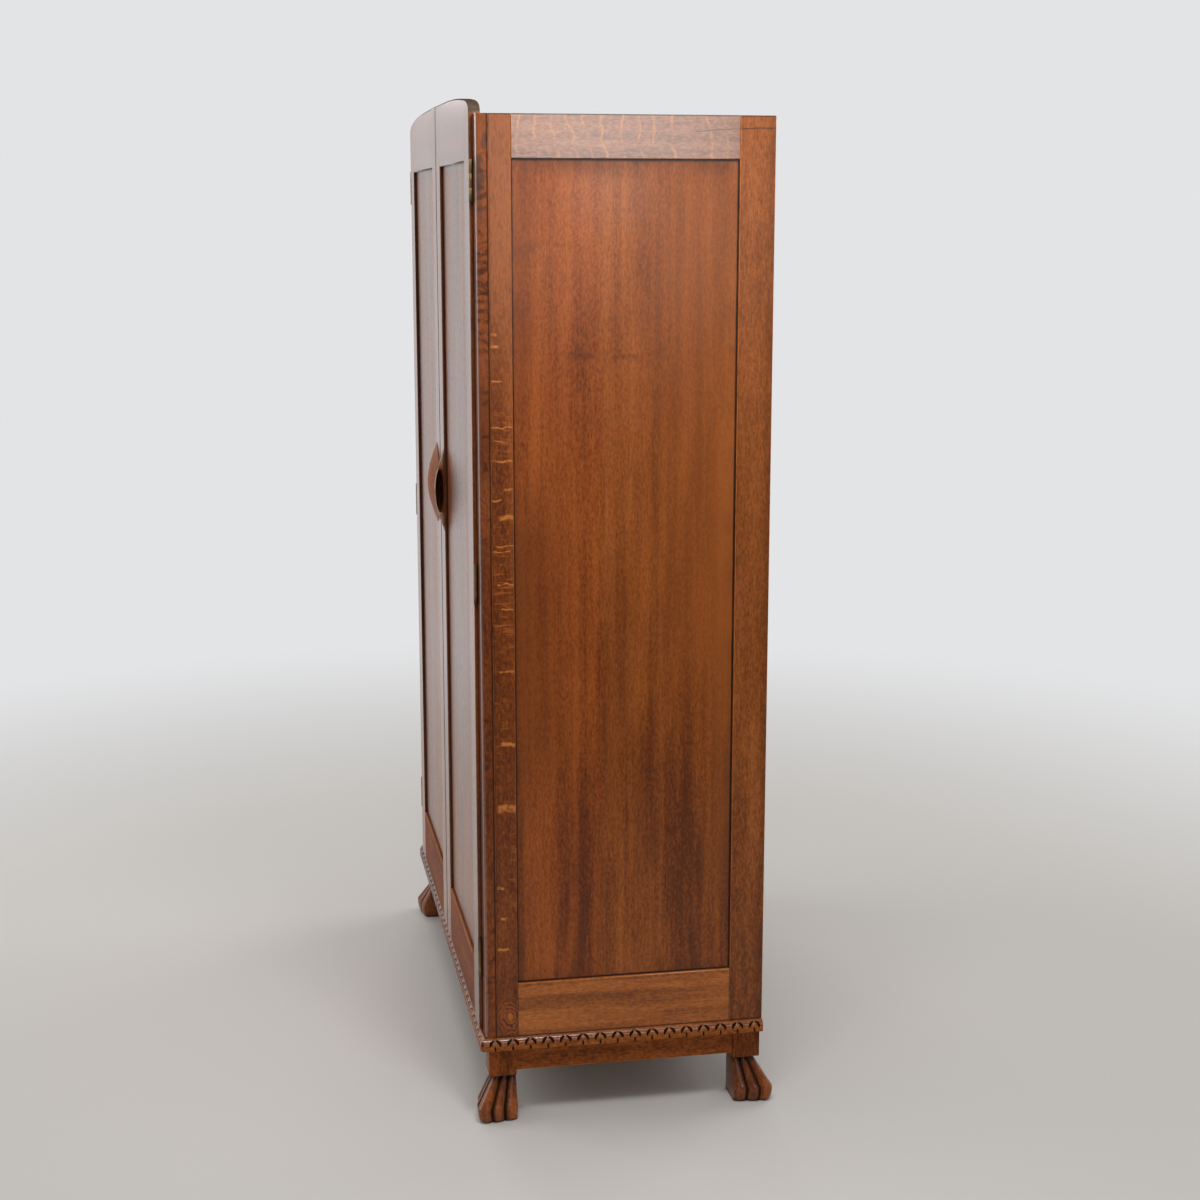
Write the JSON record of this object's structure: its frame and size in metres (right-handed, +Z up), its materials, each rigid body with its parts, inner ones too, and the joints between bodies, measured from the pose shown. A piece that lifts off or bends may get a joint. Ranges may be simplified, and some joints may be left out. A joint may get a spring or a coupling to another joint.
{
  "type": "wardrobe",
  "caption": "Free-standing oak wardrobe with hinged arched doors, framed panel sides, a hanging rail, a carved base moulding and splayed reeded feet.",
  "frame": {"origin": "middle of the overall box, on the floor", "axes": "+X to the right of someone facing the doors, +Y to the back, +Z up; the doors face -Y"},
  "size_m": [1.165, 0.5578, 1.81],
  "materials": {
    "oak_frame": "polished warm brown oak, straight grain with pale ray fleck",
    "oak_panel": "polished warm brown oak veneer, fine vertical grain",
    "oak_carved": "carved oak with dark polish left in the cuts",
    "inside_wood": "plain unpolished wood, matt",
    "brass": "aged brass, dull",
    "steel": "plain spring steel"
  },
  "bodies": {
    "case": {"back_panel": "inside_wood", "floor_board": "inside_wood", "top_board": "inside_wood", "head_rail": "oak_frame", "front_apron_rail": "oak_frame", "rear_apron_rail": "oak_frame", "left_apron_rail": "oak_frame", "right_apron_rail": "oak_frame", "front_base_moulding": "oak_carved", "left_base_moulding": "oak_carved", "right_base_moulding": "oak_carved", "front_left_foot": "oak_carved", "front_right_foot": "oak_carved", "rear_left_foot": "oak_carved", "rear_right_foot": "oak_carved", "hanging_rail": "brass", "left_rail_socket": "brass", "right_rail_socket": "brass", "left_rail_bearer": "inside_wood", "right_rail_bearer": "inside_wood", "left_side_front_stile": "oak_frame", "left_side_rear_stile": "oak_frame", "left_side_top_rail": "oak_frame", "left_side_bottom_rail": "oak_frame", "left_side_panel": "oak_panel", "left_face_strip": "oak_frame", "right_side_front_stile": "oak_frame", "right_side_rear_stile": "oak_frame", "right_side_top_rail": "oak_frame", "right_side_bottom_rail": "oak_frame", "right_side_panel": "oak_panel", "right_face_strip": "oak_frame", "left_door_catch_clip": "steel", "right_door_catch_clip": "steel", "left_lower_hinge_case_leaf": "brass", "left_middle_hinge_case_leaf": "brass", "left_upper_hinge_case_leaf": "brass", "right_lower_hinge_case_leaf": "brass", "right_middle_hinge_case_leaf": "brass", "right_upper_hinge_case_leaf": "brass"},
    "left_door": {"left_door_meeting_stile": "oak_frame", "left_door_hinge_stile": "oak_frame", "left_door_top_rail": "oak_frame", "left_door_bottom_rail": "oak_frame", "left_door_panel": "oak_panel", "left_door_pull": "oak_carved", "left_door_catch_stud": "brass", "left_lower_hinge_door_leaf": "brass", "left_middle_hinge_door_leaf": "brass", "left_upper_hinge_door_leaf": "brass"},
    "right_door": {"right_door_meeting_stile": "oak_frame", "right_door_hinge_stile": "oak_frame", "right_door_top_rail": "oak_frame", "right_door_bottom_rail": "oak_frame", "right_door_panel": "oak_panel", "right_door_pull": "oak_carved", "right_door_catch_stud": "brass", "right_lower_hinge_door_leaf": "brass", "right_middle_hinge_door_leaf": "brass", "right_upper_hinge_door_leaf": "brass"}
  },
  "joints": [
    {"name": "left_door_hinge", "type": "hinge", "parent": "case", "child": "left_door", "pos_m": [-0.5291, -0.2562, 0.981], "axis": [0, 0, -1], "range_deg": [0, 120]},
    {"name": "right_door_hinge", "type": "hinge", "parent": "case", "child": "right_door", "pos_m": [0.5291, -0.2562, 0.981], "axis": [0, 0, 1], "range_deg": [0, 120]}
  ]
}
